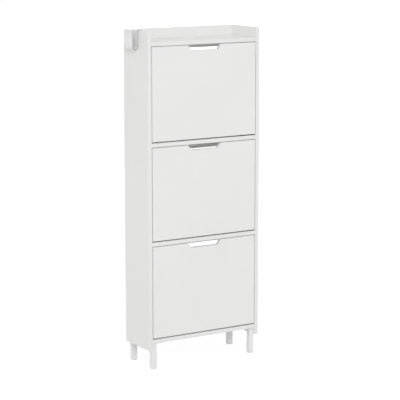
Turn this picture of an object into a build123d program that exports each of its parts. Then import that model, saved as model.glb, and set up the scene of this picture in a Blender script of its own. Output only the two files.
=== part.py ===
from build123d import *
import os
from math import asin, cos, degrees, radians, sin

# Slim shoe cabinet: a board carcass on four square legs, three tip-out flaps with finger
# cut-outs, a tray top with a rim, an open back and a strip hook on the left rim.
# Millimetres. Origin on the floor under the middle of the carcass, +X to the right of someone
# who faces the flaps, +Y to the back, +Z up.

# Carcass boards
overall_width = 480.0
overall_depth = 180.0
board = 15.0
compartment_height = 351.0
flap_names = ("lower", "middle", "upper")
underside_height = 99.0
skirt = 26.0
rim = 38.0
edge_break = 0.8

# Rear rails
divider_rail_height = 42.0
top_rail_drop = 26.0
wall_hole_diameter = 6.0
wall_hole_spacing = 320.0

# Legs: square tube under a mounting plate, closed by a plug
leg_size = 20.0
leg_wall = 1.5
leg_setback = 6.0
leg_plate = 48.0
leg_plate_thickness = 2.5
plug_height = 3.0
plug_stem = 14.0
plug_bevel = 1.0
leg_screw_margin = 9.0
leg_screw_corner_share = 0.8

# Board joints: cam locks, their bolts and dowels
cam_diameter = 15.0
cam_depth = 12.0
cam_setback = 24.0
cam_spacing = 64.0
cam_recess_depth = 2.5
cam_recess_width = 1.4
cam_recess_length = 7.0
bolt_diameter = 6.0
bolt_head_diameter = 7.0
bolt_head_length = 3.0
bolt_neck_diameter = 4.0
bolt_thread_diameter = 5.0
bolt_thread_length = 10.0
dowel_diameter = 8.0
dowel_in_side = 10.0
dowel_in_board = 20.0
rail_cam_height = 12.0
rail_dowel_height = 31.0
bore_clearance = 0.1
bore_end_gap = 0.5

# Flap fronts
flap_side_gap = 2.5
flap_top_gap = 2.0
flap_bottom_gap = 4.5
grip_top_width = 142.0
grip_bottom_width = 116.0
grip_depth = 18.5
grip_corner = 3.0

# Flap motion: the pivot behind the lower edge and the stud that stops it
opening_angle = 50.0
pivot_setback = 24.0
pivot_height = 80.0
pivot_diameter = 10.0
pivot_clearance = 0.08
stud_diameter = 8.0
stud_radius = 58.0
stud_angle = 62.0
stud_clearance = 0.3

# Pivot plates on the side panels
plate_to_flap = 0.5
pivot_plate_rim = 4.0
plate_screw_spacing = 18.0

# Moulded side frames of the flaps
frame_inset = 0.5
frame_skin = 3.2
frame_wall = 2.4
frame_width = 15.0
frame_low = 12.0
frame_top = 262.0
frame_top_width = 26.0
frame_back = 158.0
frame_back_top = 172.0
frame_sweep_sag = 20.0
frame_edge_round = 1.5
boss_wall = 4.0
slot_lip = 2.4
slot_lip_height = 5.0
window_margin = 12.0
window_corner = 6.0
window_bridge = 10.0

# Boards that the frames hold
inner_board = 9.0
inner_board_gap = 0.3
back_board_drop = 6.0

# Screws of the flaps, the pivot plates and the legs
screw_diameter = 3.5
screw_head_diameter = 7.0
screw_head_height = 2.2
screw_crown_share = 0.7
screw_rim_share = 0.4
screw_recess_depth = 1.2
screw_recess_width = 0.9
screw_recess_length = 3.6
short_screw = 10.0
long_screw = 14.0
front_screw_heights = (34.0, 146.0, 246.0)
side_screw_share = 0.5

# Strip hook over the left rim
hook_thickness = 2.0
hook_width = 62.0
hook_front = 72.0
hook_gap = 18.0
hook_drop = 69.0
hook_tab = 24.0
hook_clearance = 0.3
hook_bend = 0.5
hook_bend_share = 0.98

# Places worked out from the sizes above
front = -overall_depth / 2
rear = overall_depth / 2
inner_half = overall_width / 2 - board
first_floor = underside_height + board
floors = [first_floor + i * (compartment_height + board) for i in range(len(flap_names))]
top_underside = floors[-1] + compartment_height
rim_top = top_underside + board + rim
side_bottom = underside_height - skirt
rail_front = rear - board
flap_half = inner_half - flap_side_gap
pivot_plate_thickness = flap_side_gap - plate_to_flap
frame_outer = flap_half - frame_inset
frame_inner_skin = frame_outer - frame_skin
frame_inner = frame_outer - frame_width
stud_setback = pivot_setback + stud_radius * cos(radians(stud_angle))
stud_height = pivot_height + stud_radius * sin(radians(stud_angle))
MIN_Z = (Align.CENTER, Align.CENTER, Align.MIN)
MIN_X = (Align.MIN, Align.CENTER, Align.CENTER)
SIDES = (("left", -1), ("right", 1))
TURN_BOARD_UP = Rot(180, 0, 0)
TURN_RAIL = Rot(90, 0, 0)


def block(x_span, y_span, z_span):
    """A box between two values on each axis."""
    spans = (x_span, y_span, z_span)
    middle = [(a + b) / 2 for a, b in spans]
    return Pos(*middle) * Box(*[b - a for a, b in spans])


def rod(diameter, start, direction, length):
    """A cylinder that starts at a point and runs along a direction."""
    return Plane(origin=start, z_dir=direction) * Cylinder(diameter / 2, length, align=MIN_Z)


def ease_front(piece):
    """Break every edge that bounds the front face."""
    face = piece.faces().sort_by(Axis.Y)[0]
    return chamfer(face.edges(), edge_break)


def turned(points):
    """Turn a half profile, given as (along X, radius), about the X axis."""
    return revolve(make_face(Polyline(*points, close=True)), Axis.X)


def on_side(sketch, amount):
    """Extrude a sketch drawn as (distance behind the front, height) towards +X."""
    return extrude(Plane.YZ * sketch, amount)


def cross_recess(face_x):
    """The cross that a driver turns, cut into a screw's head from its face towards +X."""
    bar = Box(2 * screw_recess_depth, screw_recess_length, screw_recess_width)
    return Pos(face_x, 0, 0) * (bar + Rot(90, 0, 0) * bar)


def screw(length):
    """A pan-head screw along +X with the underside of its head at zero."""
    head = screw_head_diameter / 2
    shank = screw_diameter / 2
    body = turned(
        [
            (-screw_head_height, 0),
            (-screw_head_height, head * screw_crown_share),
            (-screw_head_height * screw_rim_share, head),
            (0, head),
            (0, shank),
            (length - shank, shank),
            (length, 0),
        ]
    )
    return body - cross_recess(-screw_head_height)


def screw_at(length, point, direction):
    """A screw whose head seats at a point and whose shank runs along a direction."""
    return Plane(origin=point, z_dir=direction) * Rot(0, -90, 0) * screw(length)


def screw_hole(length, point, direction):
    """The hole for such a screw."""
    return rod(screw_diameter + 2 * bore_clearance, point, direction, length + bore_end_gap)


# Board joints
def cam_lock():
    """A cam with its open face at zero, facing down, and its jaw towards +X."""
    jaw = bolt_head_diameter + 2 * bore_clearance
    jaw_back = Pos(-bolt_head_length, 0, board / 2)
    recess = Box(cam_recess_length, cam_recess_width, 2 * cam_recess_depth)
    cam = Cylinder(cam_diameter / 2 - bore_clearance, cam_depth, align=MIN_Z)
    cam -= jaw_back * Box(cam_diameter, jaw, jaw, align=MIN_X)
    return cam - recess - Rot(0, 0, 90) * recess


def cam_bolt():
    """A bolt along +X from its head in the cam to its thread in the side panel."""
    head_end = -cam_setback - bolt_head_length / 2
    neck_start = head_end + bolt_head_length
    neck_end = -cam_setback + cam_diameter / 2
    return turned(
        [
            (head_end, 0),
            (head_end, bolt_head_diameter / 2),
            (neck_start, bolt_head_diameter / 2),
            (neck_start, bolt_neck_diameter / 2),
            (neck_end, bolt_neck_diameter / 2),
            (neck_end, bolt_diameter / 2),
            (0, bolt_diameter / 2),
            (0, bolt_thread_diameter / 2),
            (bolt_thread_length, bolt_thread_diameter / 2),
            (bolt_thread_length, 0),
        ]
    )


class Joints:
    """Collects the cams, bolts and dowels, and the bores that they need."""

    def __init__(self):
        self.cam_shape = cam_lock()
        self.bolt_shape = cam_bolt()
        self.cams = []
        self.bolts = []
        self.dowels = []
        self.side_bores = {-1: [], 1: []}

    def cam(self, side, y, z, open_face, turn):
        """Add a cam and bolt at the end of a board; returns the board's bores."""
        to_side = Rot(0, 0, 0 if side > 0 else 180)
        end = Pos(side * inner_half, y, z)
        seat = Pos(side * (inner_half - cam_setback), *open_face) * turn
        self.cams.append(seat * to_side * self.cam_shape)
        self.bolts.append(end * to_side * self.bolt_shape)
        thread = bolt_thread_diameter + 2 * bore_clearance
        self.side_bores[side].append(
            end * to_side * rod(thread, (0, 0, 0), (1, 0, 0), bolt_thread_length + bore_end_gap)
        )
        shank = bolt_diameter + 2 * bore_clearance
        return [
            seat * Cylinder(cam_diameter / 2, cam_depth + bore_end_gap, align=MIN_Z),
            end * to_side * rod(shank, (0, 0, 0), (-1, 0, 0), cam_setback),
        ]

    def dowel(self, side, y, z):
        """Add a dowel across a joint; returns the board's bore."""
        inner_end = (side * (inner_half - dowel_in_board), y, z)
        self.dowels.append(
            rod(dowel_diameter, inner_end, (side, 0, 0), dowel_in_board + dowel_in_side)
        )
        bore = dowel_diameter + 2 * bore_clearance
        face = (side * inner_half, y, z)
        self.side_bores[side].append(
            rod(bore, face, (side, 0, 0), dowel_in_side + bore_end_gap)
        )
        return [rod(bore, face, (-side, 0, 0), dowel_in_board + bore_end_gap)]

    def board_bores(self, underside, cams_on_top):
        """Both ends of a horizontal board: two cams with a dowel between them."""
        middle = underside + board / 2
        face = underside + board if cams_on_top else underside
        turn = TURN_BOARD_UP if cams_on_top else Rot(0, 0, 0)
        bores = []
        for side in (-1, 1):
            for y in (-cam_spacing / 2, cam_spacing / 2):
                bores += self.cam(side, y, middle, (y, face), turn)
            bores += self.dowel(side, 0, middle)
        return bores

    def rail_bores(self, low):
        """Both ends of a rear rail: one cam from the rear and one dowel."""
        middle = rear - board / 2
        cam_z = low + rail_cam_height
        bores = []
        for side in (-1, 1):
            bores += self.cam(side, middle, cam_z, (rear, cam_z), TURN_RAIL)
            bores += self.dowel(side, middle, low + rail_dowel_height)
        return bores


# Carcass
def horizontal_board(joints, underside, back, cams_on_top=False):
    """A board between the side panels."""
    span = (underside, underside + board)
    piece = ease_front(block((-inner_half, inner_half), (front, back), span))
    return piece - joints.board_bores(underside, cams_on_top)


def rear_rail(joints, low, high):
    """A rail across the open back, between the side panels."""
    rail = block((-inner_half, inner_half), (rail_front, rear), (low, high))
    return rail - joints.rail_bores(low)


def top_rail(joints):
    """The rear rail that closes the tray and takes the wall screws."""
    low = top_underside - top_rail_drop
    rail = rear_rail(joints, low, rim_top)
    for x in (-wall_hole_spacing / 2, wall_hole_spacing / 2):
        hole_start = (x, rail_front - bore_end_gap, low + top_rail_drop / 2)
        rail -= rod(wall_hole_diameter, hole_start, (0, 1, 0), board + 2 * bore_end_gap)
    return rail


def side_panel(joints, side, plate_holes):
    """A side panel with the bores of its joints and pivot plates."""
    x_span = sorted((side * inner_half, side * overall_width / 2))
    panel = ease_front(block(x_span, (front, rear), (side_bottom, rim_top)))
    return panel - joints.side_bores[side] - plate_holes


# Legs
def leg_corners():
    """Side, end and outer corner (x, y) of each leg: left, right, front and rear."""
    corner_y = {"front": front + leg_setback, "rear": rear - leg_setback}
    return {
        f"{end}_{name}": (side, 1 if end == "front" else -1, (side * inner_half, corner_y[end]))
        for end in ("front", "rear")
        for name, side in SIDES
    }


def corner_block(corner, size, side, inward, z_span):
    """A square block that grows from an outer corner towards the middle."""
    x, y = corner
    return block(sorted((x, x - side * size)), sorted((y, y + inward * size)), z_span)


def leg(side, inward, corner):
    """A square tube welded under its mounting plate."""
    plate_low = underside_height - leg_plate_thickness
    plate = corner_block(corner, leg_plate, side, inward, (plate_low, underside_height))
    inner_corner = plate.edges().filter_by(Axis.Z).sort_by_distance((0, 0, underside_height))[0]
    plate = chamfer(inner_corner, leg_size)
    tube = corner_block(corner, leg_size, side, inward, (plug_height, plate_low))
    tube = fillet(tube.edges().filter_by(Axis.Z), leg_wall)
    hollow_corner = (corner[0] - side * leg_wall, corner[1] + inward * leg_wall)
    hollow_size = leg_size - 2 * leg_wall
    hollow = corner_block(hollow_corner, hollow_size, side, inward, (plug_height, plate_low))
    places = leg_screw_points(side, inward, corner)
    return plate + (tube - hollow) - [screw_hole(leg_plate_thickness, p, (0, 0, 1)) for p in places]


def leg_screw_points(side, inward, corner):
    """Where the three screws of a mounting plate enter its underside."""
    near = leg_screw_margin
    far = leg_plate - leg_screw_margin
    low = underside_height - leg_plate_thickness
    corner_place = far * leg_screw_corner_share
    places = ((far, near), (corner_place, corner_place), (near, far))
    return [(corner[0] - side * a, corner[1] + inward * b, low) for a, b in places]


def leg_plug(side, inward, corner):
    """The plug that closes a tube: a bevelled foot and a stem inside the tube."""
    foot = corner_block(corner, leg_size, side, inward, (0, plug_height))
    foot = chamfer(foot.faces().sort_by(Axis.Z)[0].edges(), plug_bevel)
    inset = leg_wall + bore_clearance
    stem_corner = (corner[0] - side * inset, corner[1] + inward * inset)
    stem_size = leg_size - 2 * inset
    stem_span = (plug_height, plug_height + plug_stem)
    return foot + corner_block(stem_corner, stem_size, side, inward, stem_span)


# Pivot plates
def plate_screw_places():
    """Two places on the line from the pivot to the stud, as (distance behind the front, height)."""
    middle_u = (pivot_setback + stud_setback) / 2
    middle_w = (pivot_height + stud_height) / 2
    step_u = cos(radians(stud_angle)) * plate_screw_spacing / 2
    step_w = sin(radians(stud_angle)) * plate_screw_spacing / 2
    return [(middle_u + k * step_u, middle_w + k * step_w) for k in (-1, 1)]


def countersunk(grow):
    """A countersunk screw along +X with its face at zero, grown by a clearance."""
    head = screw_head_diameter / 2 + grow
    shank = screw_diameter / 2 + grow
    head_depth = pivot_plate_thickness
    length = short_screw + grow
    return turned([(0, 0), (0, head), (head_depth, shank), (length, shank), (length, 0)])


def in_plate(side, floor, place, shape):
    """Set a screw, or its hole, through a pivot plate into a side panel."""
    face_x = inner_half - pivot_plate_thickness
    to_side = Rot(0, 0, 0 if side > 0 else 180)
    return Pos(side * face_x, front + place[0], floor + place[1]) * to_side * shape


def pivot_plate(side, floor):
    """A plate on the side panel with the pivot stub and the stop stud of one flap."""
    pivot_disc = Pos(pivot_setback, pivot_height) * Circle(pivot_diameter / 2 + pivot_plate_rim)
    stud_disc = Pos(stud_setback, stud_height) * Circle(stud_diameter / 2 + pivot_plate_rim)
    plate = on_side(make_hull(pivot_disc.edges() + stud_disc.edges()), pivot_plate_thickness)
    to_frame = inner_half - frame_inner
    stub = on_side(Pos(pivot_setback, pivot_height) * Circle(pivot_diameter / 2), to_frame)
    stud_length = inner_half - frame_inner_skin + slot_lip_height
    stud = on_side(Pos(stud_setback, stud_height) * Circle(stud_diameter / 2), stud_length)
    left = Pos(-inner_half, front, floor) * (plate + stub + stud)
    piece = left if side < 0 else mirror(left, Plane.YZ)
    hole = countersunk(bore_clearance)
    return piece - [in_plate(side, floor, place, hole) for place in plate_screw_places()]


# Flaps
def flap_front(floor, bores):
    """The front board with its finger cut-out."""
    low = floor + flap_bottom_gap
    high = floor + compartment_height - flap_top_gap
    outline = Polyline(
        (-flap_half, low),
        (flap_half, low),
        (flap_half, high),
        (grip_top_width / 2, high),
        (grip_bottom_width / 2, high - grip_depth),
        (-grip_bottom_width / 2, high - grip_depth),
        (-grip_top_width / 2, high),
        (-flap_half, high),
        close=True,
    )
    face = make_face(outline)
    grip = [v for v in face.vertices() if abs(v.X) < grip_top_width / 2 + edge_break]
    face = fillet(grip, grip_corner)
    panel = extrude(Plane.XZ.offset(-front) * face, -board)
    return ease_front(panel) - bores


def frame_outline():
    """The outline of a side frame, as (distance behind the front, height)."""
    low_front = (board, frame_low)
    top_front = (board, frame_top)
    top_back = (board + frame_top_width, frame_top)
    back_top = (frame_back, frame_back_top)
    low_back = (frame_back, frame_low)
    edges = [
        Line(low_front, low_back),
        Line(low_back, back_top),
        SagittaArc(back_top, top_back, frame_sweep_sag),
        Line(top_back, top_front),
        Line(top_front, low_front),
    ]
    return make_face(edges)


def frame_windows():
    """Openings in a frame's skin: one above the slot and one behind it."""
    inner = offset(frame_outline(), -window_margin, kind=Kind.INTERSECTION)
    slot_back = pivot_setback + stud_radius + stud_diameter / 2 + slot_lip + window_bridge
    slot_top = stud_height + stud_diameter / 2 + slot_lip + window_bridge
    upper = Rectangle(slot_back - window_bridge, frame_top, align=(Align.MIN, Align.MIN))
    behind = Rectangle(frame_back, frame_top, align=(Align.MIN, Align.MIN))
    floor_top = frame_low + frame_wall + inner_board + window_bridge
    back_front = frame_back - frame_wall - inner_board
    keep_back = Rectangle(back_front, frame_top, align=(Align.MIN, Align.MIN))
    windows = [
        inner & (Pos(0, slot_top) * upper),
        inner & (Pos(slot_back, floor_top) * behind) & keep_back,
    ]
    return [
        on_side(offset(offset(w, -window_corner), window_corner, kind=Kind.ARC), frame_skin)
        for w in windows
    ]


def stop_slot(width):
    """An arc slot about the pivot, as long as the flap's travel."""
    free = degrees(2 * asin(stud_clearance / 2 / stud_radius))
    centre = (pivot_setback, pivot_height)
    arc = CenterArc(centre, stud_radius, stud_angle + free, -(opening_angle + 2 * free))
    return SlotArc(arc, width)


def frame_screws():
    """Length, seat (x, distance behind the front, height) and direction of a left frame's screws."""
    flange_x = -(frame_inner_skin + frame_inner) / 2
    floor_u = (board + frame_back) * side_screw_share
    back_w = (frame_low + frame_back_top) * side_screw_share
    screws = [
        (long_screw, (flange_x, board + frame_wall, w), (0, -1, 0)) for w in front_screw_heights
    ]
    screws.append((short_screw, (flange_x, floor_u, frame_low), (0, 0, 1)))
    screws.append((short_screw, (flange_x, frame_back, back_w), (0, -1, 0)))
    return screws


def place_screws(floor, make):
    """A flap's screws, or their holes, on both sides."""
    left = [make(length, point, way) for length, point, way in frame_screws()]
    placed = [Pos(0, front, floor) * piece for piece in left]
    return placed + [mirror(piece, Plane.YZ) for piece in placed]


def left_frame():
    """A moulded side frame: skin, flange, pivot boss, stop slot, lip and windows."""
    outline = frame_outline()
    pocket = offset(outline, -frame_wall, kind=Kind.INTERSECTION)
    frame = on_side(outline, frame_width)
    skin_edges = frame.faces().sort_by(Axis.X)[0].edges()
    frame = fillet(skin_edges, frame_edge_round)
    frame -= Pos(frame_skin, 0, 0) * on_side(pocket, frame_width)
    frame -= frame_windows()
    at_pivot = Pos(pivot_setback, pivot_height)
    hole = pivot_diameter / 2 + pivot_clearance
    boss = on_side(at_pivot * Circle(hole + boss_wall), frame_width)
    frame += boss & on_side(outline, frame_width)
    slot_width = stud_diameter + 2 * stud_clearance
    frame += on_side(stop_slot(slot_width + 2 * slot_lip), frame_skin + slot_lip_height)
    frame -= on_side(stop_slot(slot_width), frame_width)
    return frame - on_side(at_pivot * Circle(hole), frame_width)


def flap_floor():
    """The board that shoes stand on, on the frames' lower flanges."""
    half = frame_inner_skin - inner_board_gap
    depth = (board + frame_wall + inner_board_gap, frame_back - frame_wall - inner_board)
    low = frame_low + frame_wall
    return block((-half, half), depth, (low, low + inner_board))


def flap_back():
    """The board that keeps shoes in, against the frames' rear flanges."""
    half = frame_inner_skin - inner_board_gap
    back = frame_back - frame_wall
    high = frame_back_top - back_board_drop
    return block((-half, half), (back - inner_board, back), (frame_low + frame_wall, high))


def flap(floor):
    """The pieces of one flap by name."""
    holes = place_screws(floor, screw_hole)
    seat = Pos(0, front, floor)
    left = seat * Pos(-frame_outer, 0, 0) * left_frame() - holes
    return {
        "front": flap_front(floor, holes),
        "frame_left": left,
        "frame_right": mirror(left, Plane.YZ),
        "floor": seat * flap_floor() - holes,
        "back": seat * flap_back() - holes,
        "screws": Compound(children=place_screws(floor, screw_at)),
    }


# Hook
def side_hook():
    """A strip bent over the left rim, down the outer face and up again into an outer leg."""
    off_face = hook_clearance + hook_thickness / 2
    tab_x = -inner_half + off_face
    face_x = -overall_width / 2 - off_face
    leg_x = face_x - hook_gap - hook_thickness
    saddle_z = rim_top + off_face
    bend = hook_bend + hook_thickness / 2
    round_bend = hook_bend_share * (face_x - leg_x) / 2
    line = FilletPolyline(
        (tab_x, saddle_z - hook_tab),
        (tab_x, saddle_z),
        (face_x, saddle_z),
        (face_x, saddle_z - hook_drop),
        (leg_x, saddle_z - hook_drop),
        (leg_x, saddle_z),
        radius=[bend, bend, round_bend, round_bend],
    )
    strip = extrude(Plane.XZ * trace(line, hook_thickness), hook_width)
    return Pos(0, front + hook_front + hook_width, 0) * strip


def build():
    """Every node of the cabinet by name."""
    joints = Joints()
    nodes = {}
    nodes["bottom_panel"] = horizontal_board(joints, underside_height, rear, cams_on_top=True)
    nodes["top_panel"] = horizontal_board(joints, top_underside, rail_front)
    nodes["top_back_rail"] = top_rail(joints)
    for name, floor in zip(flap_names[:-1], floors[1:]):
        under = floor - board
        nodes[f"divider_{name}"] = horizontal_board(joints, under, rear)
        nodes[f"rear_rail_{name}"] = rear_rail(joints, under - divider_rail_height, under)
    nodes["cam_locks"] = Compound(children=joints.cams)
    nodes["cam_bolts"] = Compound(children=joints.bolts)
    nodes["dowels"] = Compound(children=joints.dowels)

    plate_screw = countersunk(0) - cross_recess(0)
    plate_hole = countersunk(bore_clearance)
    plate_screws = []
    plate_holes = {-1: [], 1: []}
    for name, floor in zip(flap_names, floors):
        for side_name, side in SIDES:
            nodes[f"pivot_plate_{name}_{side_name}"] = pivot_plate(side, floor)
            for place in plate_screw_places():
                plate_screws.append(in_plate(side, floor, place, plate_screw))
                plate_holes[side].append(in_plate(side, floor, place, plate_hole))
        for piece, shape in flap(floor).items():
            nodes[f"flap_{name}_{piece}"] = shape
    nodes["pivot_plate_screws"] = Compound(children=plate_screws)
    for side_name, side in SIDES:
        nodes[f"side_panel_{side_name}"] = side_panel(joints, side, plate_holes[side])

    plugs = []
    leg_screws = []
    for name, (side, inward, corner) in leg_corners().items():
        nodes[f"leg_{name}"] = leg(side, inward, corner)
        plugs.append(leg_plug(side, inward, corner))
        for point in leg_screw_points(side, inward, corner):
            leg_screws.append(screw_at(short_screw, point, (0, 0, 1)))
            nodes["bottom_panel"] -= screw_hole(short_screw, point, (0, 0, 1))
    nodes["leg_plugs"] = Compound(children=plugs)
    nodes["leg_screws"] = Compound(children=leg_screws)
    nodes["side_hook"] = side_hook()
    return nodes


def main():
    os.makedirs("parts", exist_ok=True)
    for name, shape in build().items():
        export_step(shape, f"parts/{name}.step")


if __name__ == "__main__":
    main()
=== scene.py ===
import math

import bmesh
import bpy
import numpy as np
from mathutils import Euler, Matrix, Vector


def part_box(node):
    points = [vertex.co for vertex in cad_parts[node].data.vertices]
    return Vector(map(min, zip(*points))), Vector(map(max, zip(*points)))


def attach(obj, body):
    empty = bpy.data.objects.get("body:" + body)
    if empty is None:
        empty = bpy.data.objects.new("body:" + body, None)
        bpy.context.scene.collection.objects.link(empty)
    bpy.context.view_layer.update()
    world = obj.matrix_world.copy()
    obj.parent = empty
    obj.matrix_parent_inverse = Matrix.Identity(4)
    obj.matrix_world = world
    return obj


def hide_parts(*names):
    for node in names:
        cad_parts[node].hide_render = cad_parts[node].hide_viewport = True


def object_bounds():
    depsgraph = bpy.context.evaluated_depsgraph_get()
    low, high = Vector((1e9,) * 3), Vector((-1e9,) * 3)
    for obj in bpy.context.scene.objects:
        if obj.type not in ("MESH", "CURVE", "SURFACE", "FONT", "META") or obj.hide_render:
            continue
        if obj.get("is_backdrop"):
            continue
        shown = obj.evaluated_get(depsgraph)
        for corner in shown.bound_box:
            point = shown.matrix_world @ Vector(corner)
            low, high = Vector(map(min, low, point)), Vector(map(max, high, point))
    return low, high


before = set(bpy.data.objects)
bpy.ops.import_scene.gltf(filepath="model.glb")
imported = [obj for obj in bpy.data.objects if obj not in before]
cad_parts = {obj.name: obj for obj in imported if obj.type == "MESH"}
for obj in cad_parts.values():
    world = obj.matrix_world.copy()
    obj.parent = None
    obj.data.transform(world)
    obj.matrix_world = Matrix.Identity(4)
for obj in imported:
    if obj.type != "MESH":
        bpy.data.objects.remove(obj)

bl_info = {
    "name": "Shoe cabinet",
    "version": (1, 0, 0),
    "blender": (4, 5, 0),
    "location": "3D View > Sidebar > Cabinet",
    "description": "Builds the looks of a slim shoe cabinet with three tip-out flaps",
    "category": "Object",
}

# Metres. The frame's origin is on the floor under the cabinet, +X right, +Y back, +Z up.
MM = 0.001
FLAPS = ("lower", "middle", "upper")
SIDES = ("left", "right")
ENDS = ("front", "rear")

# By the axis of a board's thickness: the two axes of its outline, then the thickness axis
PANEL_AXES = {"x": (1, 2, 0), "y": (0, 2, 1), "z": (0, 1, 2)}

# Most of a noise pattern lies between these two values
NOISE_LOW = 0.3
NOISE_HIGH = 0.7

WHITE = (1, 1, 1, 1)


# Settings

class CabinetEdges(bpy.types.PropertyGroup):
    """Small forms of the boards and of the strip hook."""

    board_round: bpy.props.FloatProperty(
        name="Board edge radius", description="Radius of the banded board edges",
        default=1.0 * MM, unit="LENGTH", precision=5)
    board_corner: bpy.props.FloatProperty(
        name="Board corner radius", description="Radius of a board's corners seen on its face",
        default=1.2 * MM, unit="LENGTH", precision=5)
    fitting_relief: bpy.props.FloatProperty(
        name="Fitting relief", description="How far cam heads stand proud of the board",
        default=0.12 * MM, unit="LENGTH", precision=5)
    grip_top: bpy.props.FloatProperty(
        name="Grip width at the top", description="Finger cut-out along the flap's top edge",
        default=142.0 * MM, unit="LENGTH")
    grip_bottom: bpy.props.FloatProperty(
        name="Grip width at the bottom", description="Finger cut-out along its lower edge",
        default=116.0 * MM, unit="LENGTH")
    grip_depth: bpy.props.FloatProperty(
        name="Grip depth", description="Finger cut-out from the flap's top edge down",
        default=18.5 * MM, unit="LENGTH")
    grip_corner: bpy.props.FloatProperty(
        name="Grip corner radius", description="Radius of the finger cut-out's corners",
        default=3.0 * MM, unit="LENGTH")
    hook_metal: bpy.props.FloatProperty(
        name="Hook strip thickness", description="Thickness of the bent strip",
        default=2.0 * MM, unit="LENGTH")
    hook_tab: bpy.props.FloatProperty(
        name="Hook tab length", description="Short leg of the hook inside the rim",
        default=24.0 * MM, unit="LENGTH")
    hook_bend: bpy.props.FloatProperty(
        name="Hook saddle bend", description="Bend radius over the rim, to the strip's middle",
        default=1.5 * MM, unit="LENGTH")
    hook_turn_share: bpy.props.FloatProperty(
        name="Hook turn share", description="Share of the lower turn that is round",
        default=0.98, subtype="FACTOR")
    hook_round: bpy.props.FloatProperty(
        name="Hook edge rounding", description="Share of the strip's half thickness that is round",
        default=0.8, subtype="FACTOR")
    arc_steps: bpy.props.IntProperty(
        name="Arc steps", description="Segments along each rounded corner", default=6)
    bend_steps: bpy.props.IntProperty(
        name="Bend steps", description="Segments along each bend of the hook", default=12)


class CabinetFinish(bpy.types.PropertyGroup):
    """Colours of the cabinet's materials, as linear values."""

    board: bpy.props.FloatVectorProperty(
        name="Board white", description="Melamine faces of the boards",
        subtype="COLOR", size=3, default=(0.83, 0.83, 0.825))
    band: bpy.props.FloatVectorProperty(
        name="Edge band white", description="Banded edges of the boards",
        subtype="COLOR", size=3, default=(0.82, 0.82, 0.815))
    seam: bpy.props.FloatVectorProperty(
        name="Band seam", description="Fine glue line between face and edge band",
        subtype="COLOR", size=3, default=(0.66, 0.655, 0.64))
    metal: bpy.props.FloatVectorProperty(
        name="Powder coat white", description="Coated legs and hook",
        subtype="COLOR", size=3, default=(0.84, 0.84, 0.84))
    # Painted shade: a dark grey for the hook strip's narrow edges, standing in for the thin shadow
    # lines along them.
    cut: bpy.props.FloatVectorProperty(
        name="Cut edge", description="Thinly coated cut edges of the hook strip",
        subtype="COLOR", size=3, default=(0.32, 0.32, 0.32))
    plastic: bpy.props.FloatVectorProperty(
        name="Plastic white", description="Moulded frames, pivot plates and leg plugs",
        subtype="COLOR", size=3, default=(0.80, 0.80, 0.79))
    zinc: bpy.props.FloatVectorProperty(
        name="Zinc", description="Screws, cam locks and bolts",
        subtype="COLOR", size=3, default=(0.60, 0.61, 0.62))
    beech: bpy.props.FloatVectorProperty(
        name="Beech", description="Dowels",
        subtype="COLOR", size=3, default=(0.58, 0.40, 0.24))


class CabinetStage(bpy.types.PropertyGroup):
    """Camera, floor and light."""

    camera_place: bpy.props.FloatVectorProperty(
        name="Camera place", description="Where the camera stands",
        subtype="TRANSLATION", size=3, default=(-3.0215, -4.9634, 1.6424))
    camera_yaw: bpy.props.FloatProperty(
        name="Camera yaw", description="Turn from +Y towards +X",
        subtype="ANGLE", default=math.radians(31.62))
    camera_pitch: bpy.props.FloatProperty(
        name="Camera pitch", description="Tilt below the horizon",
        subtype="ANGLE", default=math.radians(10.12))
    camera_lens: bpy.props.FloatProperty(
        name="Focal length", description="Focal length in millimetres", default=141.26)
    dome: bpy.props.FloatProperty(
        name="Dome light", description="Strength of the even light from all round", default=0.71)
    light_distance: bpy.props.FloatProperty(
        name="Light distance", description="From the cabinet's middle to each square light",
        default=20.0, unit="LENGTH")
    light_size: bpy.props.FloatProperty(
        name="Light size", description="Side of each square light", default=5.0, unit="LENGTH")
    key_turn: bpy.props.FloatProperty(
        name="Key turn", description="Turn of the key light from the front to the left",
        subtype="ANGLE", default=math.radians(24))
    key_rise: bpy.props.FloatProperty(
        name="Key rise", description="Height angle of the key light",
        subtype="ANGLE", default=math.radians(26))
    key_strength: bpy.props.FloatProperty(
        name="Key strength", description="Brightness of a white face square to the key light",
        default=0.275)
    side_turn: bpy.props.FloatProperty(
        name="Side turn", description="Turn of the side light from the front to the left",
        subtype="ANGLE", default=math.radians(80))
    side_rise: bpy.props.FloatProperty(
        name="Side rise", description="Height angle of the side light",
        subtype="ANGLE", default=math.radians(14))
    side_strength: bpy.props.FloatProperty(
        name="Side strength", description="Brightness of a white face square to the side light",
        default=0.065)
    rear_turn: bpy.props.FloatProperty(
        name="Rear turn", description="Turn of the rear light from the front to the left",
        subtype="ANGLE", default=math.radians(200))
    rear_rise: bpy.props.FloatProperty(
        name="Rear rise", description="Height angle of the rear light",
        subtype="ANGLE", default=math.radians(6))
    rear_strength: bpy.props.FloatProperty(
        name="Rear strength", description="Brightness of a white face square to the rear light",
        default=0.32)
    floor_half: bpy.props.FloatProperty(
        name="Floor half width", description="Half the side of the floor", default=30.0,
        unit="LENGTH")
    floor_white: bpy.props.FloatVectorProperty(
        name="Floor white", description="Colour of the floor, as linear values",
        subtype="COLOR", size=3, default=(0.82, 0.82, 0.82))
    floor_lift: bpy.props.FloatProperty(
        name="Floor brightening", description="Brightness added to the floor where it is seen",
        default=0.42)


# Surfaces

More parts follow.
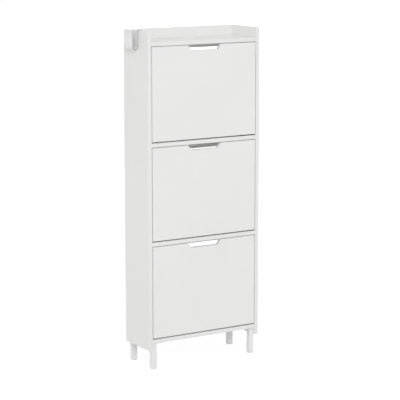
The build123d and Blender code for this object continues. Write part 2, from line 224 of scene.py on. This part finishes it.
def rounded_path(corners, radii, steps, closed):
    """A polyline with an arc at each corner.

    Each corner's arc starts and ends at the tangent length radius * tan(turn / 2) before and
    after the corner, and is the start point turned about the arc's centre by shares of the
    turn. An open path keeps its first and last point.
    """
    corners = np.asarray(corners, float)
    radii = np.broadcast_to(np.asarray(radii, float), len(corners))
    inner = corners if closed else corners[1:-1]
    radius = radii if closed else radii[1:-1]
    before = np.roll(corners, 1, 0) if closed else corners[:-2]
    after = np.roll(corners, -1, 0) if closed else corners[2:]
    come = (inner - before) / np.linalg.norm(inner - before, axis=1)[:, None]
    leave = (after - inner) / np.linalg.norm(after - inner, axis=1)[:, None]
    cross = come[:, 0] * leave[:, 1] - come[:, 1] * leave[:, 0]
    turn = np.arctan2(cross, (come * leave).sum(1))
    left = np.stack([-come[:, 1], come[:, 0]], 1)
    start = inner - come * (radius * np.tan(np.abs(turn) / 2))[:, None]
    centre = start + left * (np.sign(turn) * radius)[:, None]
    angle = turn[:, None] * np.linspace(0, 1, steps + 1)[None]
    arm = (start - centre)[:, None]
    cos, sin = np.cos(angle), np.sin(angle)
    arc = np.stack([arm[..., 0] * cos - arm[..., 1] * sin,
                    arm[..., 0] * sin + arm[..., 1] * cos], -1) + centre[:, None]
    points = arc.reshape(-1, 2)
    return points if closed else np.vstack([corners[:1], points, corners[-1:]])


def left_normals(edges):
    """The unit normal to the left of each edge."""
    along = edges / np.linalg.norm(edges, axis=1)[:, None]
    return np.stack([-along[:, 1], along[:, 0]], 1)


def mitre(before, after):
    """The direction in which an offset moves two neighbouring edges by the same length.

    It is the sum of their unit normals, divided by one plus the cosine between them.
    """
    return (before + after) / (1 + (before * after).sum(1))[:, None]


def tube_faces(rings, around):
    """Quads between the rings of a grid that closes on itself, and a face at each end."""
    ring = np.arange(rings - 1)[:, None] * around
    here = np.arange(around)[None]
    there = (here + 1) % around
    quads = np.stack([ring + here, ring + there, ring + around + there, ring + around + here], -1)
    first = np.arange(around)[::-1]
    last = np.arange(around) + (rings - 1) * around
    return [*quads.reshape(-1, 4).tolist(), first.tolist(), last.tolist()]


def slab(outline, low, high, radius, steps):
    """A board: the outline carried along a rounded edge profile, closed by two flat faces.

    The profile runs from the low face to the high face: a quarter circle, the straight edge
    and a quarter circle back. A ring of the grid is the outline, which goes counter-clockwise,
    moved inwards by radius * (1 - sin a) at the height radius * (1 - cos a) from the nearer
    face. The third result is the share of edge band at each point, 0 on a face and 1 on the edge.
    """
    quarter = np.linspace(0, math.pi / 2, steps + 1)
    inset = radius * (1 - np.sin(quarter))
    rise = radius * (1 - np.cos(quarter))
    insets = np.concatenate([inset, inset[::-1]])
    heights = np.concatenate([low + rise, high - rise[::-1]])
    band = np.concatenate([np.sin(quarter), np.sin(quarter)[::-1]])
    normal = left_normals(np.roll(outline, -1, 0) - outline)
    inwards = mitre(np.roll(normal, 1, 0), normal)
    flat = outline[None] + inwards[None] * insets[:, None, None]
    rings, around = flat.shape[:2]
    height = np.broadcast_to(heights[:, None, None], (rings, around, 1))
    points = np.concatenate([flat, height], -1).reshape(-1, 3)
    return points, tube_faces(rings, around), np.repeat(band, around)


def strip(path, width_low, width_high, thickness, round_share, steps):
    """A bent strip: a rounded bar section carried along a flat path.

    The path gives the strip's middle, and a section point lies at the path's point plus its
    offset times the path's mitred normal, at its own place across the width. The two end
    sections close the strip. The third result, the mask of the painted edge shade, is 1 on
    the narrow cut edges and 0 on the faces. A rounded corner belongs to the cut edge up to
    half its radius.
    """
    half = thickness / 2
    radius = half * round_share
    section = rounded_path(
        [(-half, width_low), (half, width_low), (half, width_high), (-half, width_high)],
        radius, steps, True)
    normal = left_normals(np.diff(path, axis=0))
    sideways = mitre(np.vstack([normal[:1], normal]), np.vstack([normal, normal[-1:]]))
    flat = path[:, None] + sideways[:, None] * section[None, :, :1]
    width = np.broadcast_to(section[None, :, 1:], (*flat.shape[:2], 1))
    points = np.concatenate([flat[..., :1], width, flat[..., 1:]], -1).reshape(-1, 3)
    margin = np.minimum(section[:, 1] - width_low, width_high - section[:, 1])
    # Mask of the painted edge shade: the narrow edges of the strip.
    painted_edge_shade = np.tile((margin < radius / 2).astype(float), len(path))
    return points, tube_faces(len(path), len(section)), painted_edge_shade


def new_piece(name, points, faces, material, body):
    """A mesh object in the row frame, with outward faces, that rides on a body.

    Its quads shade smooth, and the faces that close it shade flat.
    """
    mesh = bpy.data.meshes.new(name)
    mesh.from_pydata(points, [], faces)
    work = bmesh.new()
    work.from_mesh(mesh)
    bmesh.ops.recalc_face_normals(work, faces=work.faces)
    work.to_mesh(mesh)
    work.free()
    corners = np.zeros(len(mesh.polygons), np.int32)
    mesh.polygons.foreach_get("loop_total", corners)
    mesh.polygons.foreach_set("use_smooth", corners == 4)
    mesh.materials.append(material)
    piece = bpy.data.objects.new(name, mesh)
    bpy.context.scene.collection.objects.link(piece)
    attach(piece, body)
    return piece


def mark_points(piece, name, values):
    """A value at each point of a piece, for its material to read."""
    piece.data.attributes.new(name, "FLOAT", "POINT").data.foreach_set("value", values)


def new_board(node, axis, body, outline=None, relief=0.0):
    """A slab in place of a CAD board, with the relief taken off both of its faces.

    Without an outline it is the board's rectangle.
    """
    edges = bpy.context.scene.cabinet_edges
    across, up, deep = PANEL_AXES[axis]
    low, high = (np.array(corner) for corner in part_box(node))
    if outline is None:
        rectangle = [(low[across], low[up]), (high[across], low[up]),
                     (high[across], high[up]), (low[across], high[up])]
        outline = rounded_path(rectangle, edges.board_corner, edges.arc_steps, True)
    points, faces, band = slab(
        outline, low[deep] + relief, high[deep] - relief, edges.board_round, edges.arc_steps)
    placed = np.empty_like(points)
    placed[:, [across, up, deep]] = points
    piece = new_piece(
        node + "_board", placed, faces, finish_material("melamine"), body)
    mark_points(piece, "edge_band", band)
    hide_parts(node)
    return piece


# Materials

def blank(name):
    """A new node material with its shader and its object coordinates."""
    material = bpy.data.materials.new(name)
    material.use_nodes = True
    nodes = material.node_tree.nodes
    coordinates = nodes.new("ShaderNodeTexCoord")
    return material, nodes["Principled BSDF"], coordinates.outputs["Object"]


def noise(material, coordinates, scale, detail):
    """A noise pattern with a scale in cells to the metre."""
    node = material.node_tree.nodes.new("ShaderNodeTexNoise")
    node.inputs["Scale"].default_value = scale
    node.inputs["Detail"].default_value = detail
    material.node_tree.links.new(coordinates, node.inputs["Vector"])
    return node.outputs["Fac"]


def ramp(material, value, stops):
    """A colour ramp through (place, colour) stops."""
    node = material.node_tree.nodes.new("ShaderNodeValToRGB")
    elements = node.color_ramp.elements
    elements[0].position, elements[-1].position = stops[0][0], stops[-1][0]
    elements[0].color, elements[-1].color = (*stops[0][1], 1), (*stops[-1][1], 1)
    for place, colour in stops[1:-1]:
        elements.new(place).color = (*colour, 1)
    material.node_tree.links.new(value, node.inputs["Fac"])
    return node.outputs["Color"]


def spread(material, value, low, high):
    """A noise value mapped to the range from low to high."""
    node = material.node_tree.nodes.new("ShaderNodeMapRange")
    node.inputs["From Min"].default_value = NOISE_LOW
    node.inputs["From Max"].default_value = NOISE_HIGH
    node.inputs["To Min"].default_value = low
    node.inputs["To Max"].default_value = high
    material.node_tree.links.new(value, node.inputs["Value"])
    return node.outputs["Result"]


def mix(material, share, first, second):
    """One colour blended into another by a share."""
    node = material.node_tree.nodes.new("ShaderNodeMix")
    node.data_type = "RGBA"
    links = material.node_tree.links
    links.new(share, node.inputs["Factor"])
    links.new(first, node.inputs["A"])
    links.new(second, node.inputs["B"])
    return node.outputs["Result"]


def both(material, first, second):
    """The product of two shares."""
    node = material.node_tree.nodes.new("ShaderNodeMath")
    node.operation = "MULTIPLY"
    material.node_tree.links.new(first, node.inputs[0])
    material.node_tree.links.new(second, node.inputs[1])
    return node.outputs["Value"]


def bump(material, shader, height, strength, distance):
    """A fine relief of the surface."""
    node = material.node_tree.nodes.new("ShaderNodeBump")
    node.inputs["Strength"].default_value = strength
    node.inputs["Distance"].default_value = distance
    links = material.node_tree.links
    links.new(height, node.inputs["Height"])
    links.new(node.outputs["Normal"], shader.inputs["Normal"])


def tint(colour, share):
    """A colour made darker or lighter by a share."""
    return tuple(channel * share for channel in colour)


def clouded(material, pattern, colour, dark, light):
    """A colour that a noise pattern varies between a darker and a lighter share of it."""
    stops = [(NOISE_LOW, tint(colour, dark)), (NOISE_HIGH, tint(colour, light))]
    return ramp(material, pattern, stops)


def melamine(finish):
    """Pearl-grained melamine board with an edge band, a fine glue seam and light edge scuffs.

    The boards' attribute goes from 0 on a face to 1 on the edge. The seam is a line early in the
    rounding, and the band begins where the seam fades.
    """
    material, shader, place = blank("melamine")
    links = material.node_tree.links
    cloud = noise(material, place, scale=3.0, detail=3.0)
    face = clouded(material, cloud, finish.board, dark=0.985, light=1.01)
    band = clouded(material, cloud, finish.band, dark=0.985, light=1.01)
    share = material.node_tree.nodes.new("ShaderNodeAttribute")
    share.attribute_name = "edge_band"
    none, full = (0, 0, 0), (1, 1, 1)
    edge = ramp(material, share.outputs["Fac"], [(0.5, none), (0.7, full)])
    line = ramp(material, share.outputs["Fac"], [(0.3, none), (0.45, full), (0.6, none)])
    seam = clouded(material, cloud, finish.seam, dark=1.0, light=1.06)
    marks = noise(material, place, scale=70.0, detail=6.0)
    scuffs = ramp(material, marks, [(0.58, none), (0.75, full)])
    rubbed = clouded(material, cloud, finish.band, dark=0.95, light=0.98)
    worn = mix(material, both(material, scuffs, edge), mix(material, edge, face, band), rubbed)
    links.new(mix(material, line, worn, seam), shader.inputs["Base Color"])
    grain = noise(material, place, scale=700.0, detail=3.0)
    links.new(spread(material, grain, low=0.36, high=0.54), shader.inputs["Roughness"])
    shader.inputs["Specular IOR Level"].default_value = 0.4
    bump(material, shader, grain, strength=0.18, distance=0.12 * MM)
    return material


def powder_coat(finish):
    """White powder coat with a faint orange peel, and painted shade in dark grey on the hook
    strip's narrow edges.
    """
    material, shader, place = blank("powder_coat")
    links = material.node_tree.links
    cloud = noise(material, place, scale=14.0, detail=3.0)
    coat = clouded(material, cloud, finish.metal, dark=0.97, light=1.01)
    # Painted shade: the strip's narrow edges take a dark grey that stands in for the thin shadow
    # lines along them.
    shaded_edge_colour = clouded(material, cloud, finish.cut, dark=0.9, light=1.1)
    edge = material.node_tree.nodes.new("ShaderNodeAttribute")
    edge.attribute_name = "painted_edge_shade"
    links.new(mix(material, edge.outputs["Fac"], coat, shaded_edge_colour), shader.inputs["Base Color"])
    peel = noise(material, place, scale=520.0, detail=2.0)
    links.new(spread(material, peel, low=0.36, high=0.48), shader.inputs["Roughness"])
    bump(material, shader, peel, strength=0.2, distance=0.1 * MM)
    return material


def moulded_plastic(finish):
    """Matt white plastic with a spark-eroded grain and faint flow clouds."""
    material, shader, place = blank("moulded_plastic")
    links = material.node_tree.links
    cloud = noise(material, place, scale=22.0, detail=4.0)
    colour = clouded(material, cloud, finish.plastic, dark=0.97, light=1.01)
    links.new(colour, shader.inputs["Base Color"])
    grain = noise(material, place, scale=1500.0, detail=2.0)
    links.new(spread(material, grain, low=0.45, high=0.6), shader.inputs["Roughness"])
    bump(material, shader, grain, strength=0.25, distance=0.08 * MM)
    return material


def zinc_steel(finish):
    """Zinc-plated steel with uneven bloom."""
    material, shader, place = blank("zinc_steel")
    links = material.node_tree.links
    bloom = noise(material, place, scale=180.0, detail=4.0)
    colour = clouded(material, bloom, finish.zinc, dark=0.86, light=1.06)
    links.new(colour, shader.inputs["Base Color"])
    links.new(spread(material, bloom, low=0.28, high=0.46), shader.inputs["Roughness"])
    shader.inputs["Metallic"].default_value = 1.0
    return material


def beech_dowel(finish):
    """Beech with short dark flecks along the grain, which runs along X in every dowel."""
    material, shader, place = blank("beech_dowel")
    nodes, links = material.node_tree.nodes, material.node_tree.links
    stretch = nodes.new("ShaderNodeMapping")
    stretch.inputs["Scale"].default_value = (0.08, 1.0, 1.0)
    links.new(place, stretch.inputs["Vector"])
    fleck = noise(material, stretch.outputs["Vector"], scale=700.0, detail=3.0)
    colour = ramp(material, fleck, [(0.35, tint(finish.beech, 0.7)), (0.6, finish.beech)])
    links.new(colour, shader.inputs["Base Color"])
    links.new(spread(material, fleck, low=0.5, high=0.65), shader.inputs["Roughness"])
    return material


FINISHES = {
    "melamine": melamine,
    "powder_coat": powder_coat,
    "moulded_plastic": moulded_plastic,
    "zinc_steel": zinc_steel,
    "beech_dowel": beech_dowel,
}


def finish_material(name):
    """A finish by name, made the first time that a piece asks for it."""
    return bpy.data.materials.get(name) or FINISHES[name](bpy.context.scene.cabinet_finish)


def dress(nodes, name):
    """The finish on CAD nodes that stay in view."""
    material = finish_material(name)
    for node in nodes:
        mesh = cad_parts[node].data
        mesh.materials.clear()
        mesh.materials.append(material)


# Operators

class CABINET_OT_carcass(bpy.types.Operator):
    """Builds the boards of the carcass and dresses its rails."""

    bl_idname = "cabinet.carcass"
    bl_label = "Carcass boards"

    def execute(self, context):
        relief = context.scene.cabinet_edges.fitting_relief
        for side in SIDES:
            new_board("side_panel_" + side, "x", "cabinet")
        for node in ("bottom_panel", "divider_lower", "divider_middle", "top_panel"):
            new_board(node, "z", "cabinet", relief=relief)
        dress(("rear_rail_lower", "rear_rail_middle", "top_back_rail"), "melamine")
        return {"FINISHED"}


class CABINET_OT_flap_fronts(bpy.types.Operator):
    """Builds the three flap fronts with their finger cut-outs."""

    bl_idname = "cabinet.flap_fronts"
    bl_label = "Flap fronts"

    def execute(self, context):
        edges = context.scene.cabinet_edges
        half_top, half_bottom = edges.grip_top / 2, edges.grip_bottom / 2
        radii = [edges.board_corner] * 3 + [edges.grip_corner] * 4 + [edges.board_corner]
        for flap in FLAPS:
            node = f"flap_{flap}_front"
            low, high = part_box(node)
            grip = high.z - edges.grip_depth
            corners = [(low.x, low.z), (high.x, low.z), (high.x, high.z), (half_top, high.z),
                       (half_bottom, grip), (-half_bottom, grip), (-half_top, high.z),
                       (low.x, high.z)]
            outline = rounded_path(corners, radii, edges.arc_steps, True)
            new_board(node, "y", "flap_" + flap, outline)
        return {"FINISHED"}


class CABINET_OT_flap_insides(bpy.types.Operator):
    """Builds the inner boards of the flaps and dresses their frames, plates and screws."""

    bl_idname = "cabinet.flap_insides"
    bl_label = "Flap insides"

    def execute(self, context):
        for flap in FLAPS:
            new_board(f"flap_{flap}_floor", "z", "flap_" + flap)
            new_board(f"flap_{flap}_back", "y", "flap_" + flap)
            dress([f"flap_{flap}_frame_{side}" for side in SIDES], "moulded_plastic")
            dress([f"pivot_plate_{flap}_{side}" for side in SIDES], "moulded_plastic")
            dress([f"flap_{flap}_screws"], "zinc_steel")
        return {"FINISHED"}


class CABINET_OT_hook(bpy.types.Operator):
    """Builds the strip hook over the left rim."""

    bl_idname = "cabinet.hook"
    bl_label = "Strip hook"

    def execute(self, context):
        edges = context.scene.cabinet_edges
        half = edges.hook_metal / 2
        low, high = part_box("side_hook")
        panel_low, panel_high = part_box("side_panel_left")
        tab_x, leg_x = high.x - half, low.x + half
        saddle, foot = high.z - half, low.z + half
        face_x = panel_low.x - (tab_x - panel_high.x)
        turn = edges.hook_turn_share * (face_x - leg_x) / 2
        corners = [(tab_x, saddle - edges.hook_tab), (tab_x, saddle), (face_x, saddle),
                   (face_x, foot), (leg_x, foot), (leg_x, saddle)]
        radii = [0, edges.hook_bend, edges.hook_bend, turn, turn, 0]
        path = rounded_path(corners, radii, edges.bend_steps, False)
        points, faces, painted_edge_shade = strip(
            path, low.y, high.y, edges.hook_metal, edges.hook_round, edges.arc_steps)
        piece = new_piece("side_hook_strip", points, faces, finish_material("powder_coat"),
                          "hook")
        # The mask of the painted edge shade, 1 on the strip's narrow edges.
        mark_points(piece, "painted_edge_shade", painted_edge_shade)
        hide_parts("side_hook")
        return {"FINISHED"}


class CABINET_OT_legs(bpy.types.Operator):
    """Dresses the legs and their plugs."""

    bl_idname = "cabinet.legs"
    bl_label = "Legs"

    def execute(self, context):
        dress([f"leg_{end}_{side}" for end in ENDS for side in SIDES], "powder_coat")
        dress(["leg_plugs"], "moulded_plastic")
        return {"FINISHED"}


class CABINET_OT_fittings(bpy.types.Operator):
    """Dresses the cam locks, bolts, dowels and screws."""

    bl_idname = "cabinet.fittings"
    bl_label = "Fittings"

    def execute(self, context):
        dress(["cam_locks", "cam_bolts", "leg_screws", "pivot_plate_screws"], "zinc_steel")
        dress(["dowels"], "beech_dowel")
        return {"FINISHED"}


def seen_directly(tree):
    """A value of 1 for rays that show the background, straight or in gloss, and 0 for light."""
    rays = tree.nodes.new("ShaderNodeLightPath").outputs
    seen = rays["Is Camera Ray"]
    for name in ("Is Glossy Ray", "Is Transmission Ray"):
        either = tree.nodes.new("ShaderNodeMath")
        either.operation = "MAXIMUM"
        tree.links.new(seen, either.inputs[0])
        tree.links.new(rays[name], either.inputs[1])
        seen = either.outputs["Value"]
    return seen


def build_world(strength):
    """Even white light from all round, seen by the camera as plain white."""
    world = bpy.data.worlds.new("dome")
    world.use_nodes = True
    tree = world.node_tree
    light = tree.nodes["Background"]
    light.inputs["Strength"].default_value = strength
    light.inputs["Color"].default_value = WHITE
    white = tree.nodes.new("ShaderNodeBackground")
    white.inputs["Color"].default_value = WHITE
    either = tree.nodes.new("ShaderNodeMixShader")
    tree.links.new(seen_directly(tree), either.inputs["Fac"])
    tree.links.new(light.outputs["Background"], either.inputs[1])
    tree.links.new(white.outputs["Background"], either.inputs[2])
    tree.links.new(either.outputs["Shader"], tree.nodes["World Output"].inputs["Surface"])
    bpy.context.scene.world = world


def build_floor(stage):
    """A white floor that keeps the shadow and is brightened only where it is seen."""
    mesh = bpy.data.meshes.new("floor")
    half = stage.floor_half
    corners = [(-half, -half, 0), (half, -half, 0), (half, half, 0), (-half, half, 0)]
    mesh.from_pydata(corners, [], [(0, 1, 2, 3)])
    floor = bpy.data.objects.new("floor", mesh)
    bpy.context.scene.collection.objects.link(floor)
    material = bpy.data.materials.new("floor_white")
    material.use_nodes = True
    tree = material.node_tree
    shader = tree.nodes["Principled BSDF"]
    shader.inputs["Base Color"].default_value = (*stage.floor_white, 1)
    shader.inputs["Roughness"].default_value = 1.0
    shader.inputs["Specular IOR Level"].default_value = 0.0
    shader.inputs["Emission Color"].default_value = WHITE
    scale = tree.nodes.new("ShaderNodeMath")
    scale.operation = "MULTIPLY"
    scale.inputs[1].default_value = stage.floor_lift
    tree.links.new(seen_directly(tree), scale.inputs[0])
    tree.links.new(scale.outputs["Value"], shader.inputs["Emission Strength"])
    mesh.materials.append(material)
    floor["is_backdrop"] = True


def build_light(name, stage, turn, rise, strength):
    """A square light that faces the middle of the cabinet from a turn and a height angle.

    Its power is the strength times pi squared times the distance squared, which gives a white
    face square to it that brightness.
    """
    data = bpy.data.lights.new(name, "AREA")
    data.size = stage.light_size
    data.energy = strength * (math.pi * stage.light_distance) ** 2
    light = bpy.data.objects.new(name, data)
    away = Vector((-math.sin(turn) * math.cos(rise), -math.cos(turn) * math.cos(rise),
                   math.sin(rise)))
    low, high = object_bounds()
    light.location = (low + high) / 2 + away * stage.light_distance
    light.rotation_euler = (-away).to_track_quat("-Z", "Y").to_euler()
    bpy.context.scene.collection.objects.link(light)


class CABINET_OT_stage(bpy.types.Operator):
    """Sets the floor, the light and the camera."""

    bl_idname = "cabinet.stage"
    bl_label = "Stage"

    def execute(self, context):
        stage = context.scene.cabinet_stage
        build_world(stage.dome)
        build_floor(stage)
        build_light("key", stage, stage.key_turn, stage.key_rise, stage.key_strength)
        build_light("side", stage, stage.side_turn, stage.side_rise, stage.side_strength)
        build_light("rear", stage, stage.rear_turn, stage.rear_rise, stage.rear_strength)
        data = bpy.data.cameras.new("camera")
        data.lens = stage.camera_lens
        camera = bpy.data.objects.new("camera", data)
        camera.location = stage.camera_place
        camera.rotation_euler = Euler((math.pi / 2 - stage.camera_pitch, 0, -stage.camera_yaw))
        context.scene.collection.objects.link(camera)
        context.scene.camera = camera
        context.scene.view_settings.view_transform = "Standard"
        return {"FINISHED"}


class CABINET_PT_panel(bpy.types.Panel):
    """Lists the cabinet's operators in the order of the build."""

    bl_label = "Shoe cabinet"
    bl_space_type = "VIEW_3D"
    bl_region_type = "UI"
    bl_category = "Cabinet"

    def draw(self, context):
        for operator in OPERATORS:
            self.layout.operator(operator.bl_idname)


SETTINGS = {
    "cabinet_edges": CabinetEdges,
    "cabinet_finish": CabinetFinish,
    "cabinet_stage": CabinetStage,
}
OPERATORS = (
    CABINET_OT_carcass, CABINET_OT_flap_fronts, CABINET_OT_flap_insides,
    CABINET_OT_hook, CABINET_OT_legs, CABINET_OT_fittings, CABINET_OT_stage,
)
CLASSES = (*SETTINGS.values(), *OPERATORS, CABINET_PT_panel)


def register():
    """Adds the settings, the operators and the panel."""
    for each in CLASSES:
        bpy.utils.register_class(each)
    for name, group in SETTINGS.items():
        setattr(bpy.types.Scene, name, bpy.props.PointerProperty(type=group))


def unregister():
    """Removes the settings, the operators and the panel."""
    for name in SETTINGS:
        delattr(bpy.types.Scene, name)
    for each in reversed(CLASSES):
        bpy.utils.unregister_class(each)


def main():
    """Builds everything."""
    register()
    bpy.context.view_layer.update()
    bpy.ops.cabinet.carcass()
    bpy.ops.cabinet.flap_fronts()
    bpy.ops.cabinet.flap_insides()
    bpy.ops.cabinet.hook()
    bpy.ops.cabinet.legs()
    bpy.ops.cabinet.fittings()
    bpy.ops.cabinet.stage()


if __name__ == "__main__":
    main()
